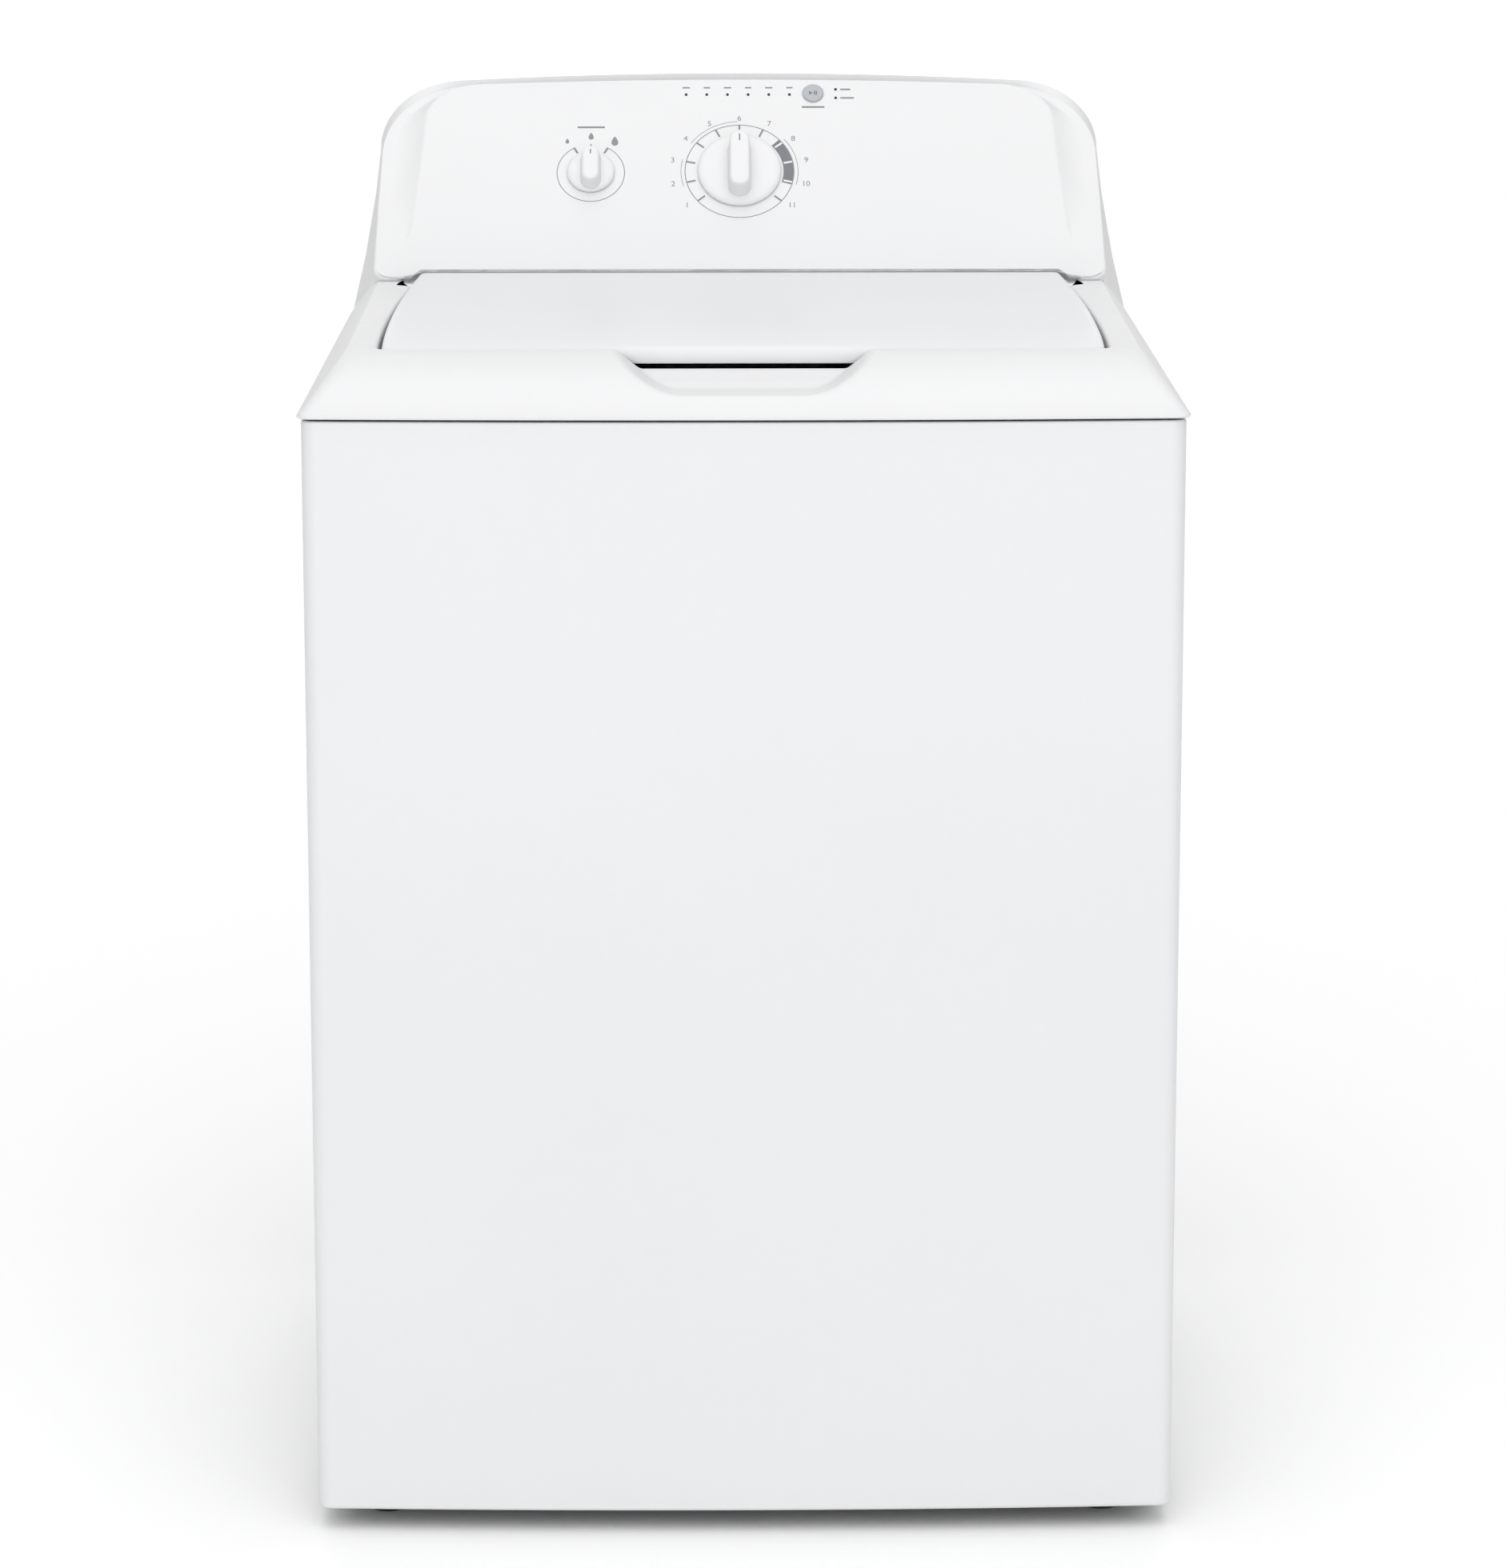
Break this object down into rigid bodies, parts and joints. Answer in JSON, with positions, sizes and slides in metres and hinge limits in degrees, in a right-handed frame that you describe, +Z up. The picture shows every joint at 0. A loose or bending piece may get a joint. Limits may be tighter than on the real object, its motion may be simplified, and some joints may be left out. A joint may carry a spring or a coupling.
{
  "type": "top load washing machine",
  "caption": "Free-standing top load washing machine with a hinged lid, sloped control console, suspended tub, perforated basket and agitator.",
  "frame": {"origin": "on the floor under the middle of the machine's footprint", "axes": "+Z up, front of the machine faces -Y, +X to the right seen from the front"},
  "size_m": [0.692, 0.686, 1.1175],
  "materials": {
    "white_enamel": "smooth gloss enamel on steel",
    "white_plastic": "gloss moulded plastic",
    "lid_enamel": "gloss enamel, slightly greyer",
    "button_silver": "satin silver paint",
    "grey_plastic": "matte moulded plastic",
    "black_plastic": "matte black plastic",
    "tub_plastic": "matte filled polypropylene",
    "agitator_plastic": "satin moulded plastic",
    "stainless": "brushed stainless",
    "zinc_steel": "zinc plated",
    "cast_alloy": "as cast",
    "galvanised": "galvanised sheet",
    "rubber_black": "moulded rubber",
    "rubber_grey": "moulded rubber",
    "board_green": "solder mask",
    "led_black": "dark lens"
  },
  "bodies": {
    "cabinet": {"front_panel": "white_enamel", "cabinet_side_left": "white_enamel", "cabinet_side_right": "white_enamel", "rear_panel": "galvanised", "base_frame": "galvanised", "top_cover": "white_plastic", "console_front": "white_plastic", "console_body": "white_plastic", "console_rear_cover": "galvanised", "control_board": "board_green", "rotary_encoders": "black_plastic", "status_leds": "led_black", "pressure_sensor": "black_plastic", "inlet_valve": "tub_plastic", "fill_spout": "white_plastic", "lid_lock": "grey_plastic", "power_cord_gland": "black_plastic", "drain_outlet": "grey_plastic", "rod_sockets": "grey_plastic", "suspension_rods": "zinc_steel", "cabinet_screws": "zinc_steel"},
    "lid": {"lid_panel": "lid_enamel", "lid_liner": "white_plastic", "lid_strike": "white_plastic", "lid_hinge_pins": "zinc_steel", "lid_bumpers": "rubber_grey"},
    "lock_bolt": {"lock_bolt": "zinc_steel"},
    "cycle_knob": {"cycle_knob": "white_plastic", "cycle_knob_shaft": "zinc_steel"},
    "load_knob": {"load_knob": "white_plastic", "load_knob_shaft": "zinc_steel"},
    "start_button": {"start_button": "button_silver"},
    "tub": {"outer_tub": "tub_plastic", "tub_cover": "tub_plastic", "gear_case": "cast_alloy", "drive_motor": "grey_plastic", "motor_bracket": "galvanised", "drive_belt": "rubber_black", "spin_bearings": "zinc_steel", "tub_seal": "rubber_black", "drain_pump": "grey_plastic", "sump_hose": "rubber_black", "mode_shifter": "tub_plastic", "suspension_springs": "zinc_steel", "drain_hose": "rubber_grey", "pressure_hose": "rubber_black"},
    "basket": {"basket": "stainless", "balance_ring": "tub_plastic", "spin_tube": "zinc_steel"},
    "agitator": {"agitator": "agitator_plastic", "agitator_cap": "grey_plastic", "agitator_shaft": "zinc_steel"},
    "drive_pulley": {"drive_pulley": "cast_alloy"},
    "motor_pulley": {"motor_pulley": "cast_alloy"},
    "clutch_collar": {"clutch_collar": "zinc_steel"},
    "pump_impeller": {"pump_impeller": "white_plastic"},
    "foot_front_left": {"foot_front_left": "rubber_black"},
    "foot_front_right": {"foot_front_right": "rubber_black"},
    "foot_rear_left": {"foot_rear_left": "rubber_black"},
    "foot_rear_right": {"foot_rear_right": "rubber_black"}
  },
  "joints": [
    {"name": "lid_hinge", "type": "hinge", "parent": "cabinet", "child": "lid", "pos_m": [0, 0.174, 0.944], "axis": [-1, 0, 0], "range_deg": [0, 100]},
    {"name": "lock_bolt_slide", "type": "slide", "parent": "cabinet", "child": "lock_bolt", "axis": [-1, 0, 0], "range_m": [0, 0.011]},
    {"name": "cycle_knob_turn", "type": "hinge", "parent": "cabinet", "child": "cycle_knob", "pos_m": [0, 0.25203, 1.03683], "axis": [0, -0.788, 0.6157], "range_deg": [-130, 130]},
    {"name": "load_knob_turn", "type": "hinge", "parent": "cabinet", "child": "load_knob", "pos_m": [-0.13, 0.2511, 1.03565], "axis": [0, -0.788, 0.6157], "range_deg": [-30, 30]},
    {"name": "start_button_press", "type": "slide", "parent": "cabinet", "child": "start_button", "axis": [0, 0.788, -0.6157], "range_m": [0, 0.0015], "stiffness_N_per_m": 600, "springref_m": -0.0005},
    {"name": "tub_bounce", "type": "slide", "parent": "cabinet", "child": "tub", "axis": [0, 0, 1], "range_m": [-0.035, 0.01], "stiffness_N_per_m": 8000, "springref_m": 0.0352, "deforming": ["suspension_springs", "drain_hose", "pressure_hose"]},
    {"name": "basket_spin", "type": "hinge", "parent": "tub", "child": "basket", "pos_m": [0, -0.012, 0], "axis": [0, 0, 1], "continuous": true},
    {"name": "agitator_turn", "type": "hinge", "parent": "tub", "child": "agitator", "pos_m": [0, -0.012, 0], "axis": [0, 0, 1], "continuous": true},
    {"name": "drive_pulley_turn", "type": "hinge", "parent": "tub", "child": "drive_pulley", "pos_m": [0, -0.012, 0], "axis": [0, 0, 1], "continuous": true},
    {"name": "motor_pulley_turn", "type": "hinge", "parent": "tub", "child": "motor_pulley", "pos_m": [0.165, -0.012, 0], "axis": [0, 0, 1], "continuous": true},
    {"name": "clutch_slide", "type": "slide", "parent": "tub", "child": "clutch_collar", "axis": [0, 0, 1], "range_m": [0, 0.006]},
    {"name": "impeller_spin", "type": "hinge", "parent": "tub", "child": "pump_impeller", "pos_m": [-0.15, -0.15, 0], "axis": [0, 0, 1], "continuous": true},
    {"name": "foot_front_left_screw", "type": "slide", "parent": "cabinet", "child": "foot_front_left", "axis": [0, 0, -1], "range_m": [0, 0.012]},
    {"name": "foot_front_right_screw", "type": "slide", "parent": "cabinet", "child": "foot_front_right", "axis": [0, 0, -1], "range_m": [0, 0.012]},
    {"name": "foot_rear_left_screw", "type": "slide", "parent": "cabinet", "child": "foot_rear_left", "axis": [0, 0, -1], "range_m": [0, 0.012]},
    {"name": "foot_rear_right_screw", "type": "slide", "parent": "cabinet", "child": "foot_rear_right", "axis": [0, 0, -1], "range_m": [0, 0.012]}
  ],
  "couplings": [
    {"joint": "drive_pulley_turn", "follows": "agitator_turn", "ratio": 2.6},
    {"joint": "motor_pulley_turn", "follows": "agitator_turn", "ratio": 10.873}
  ]
}
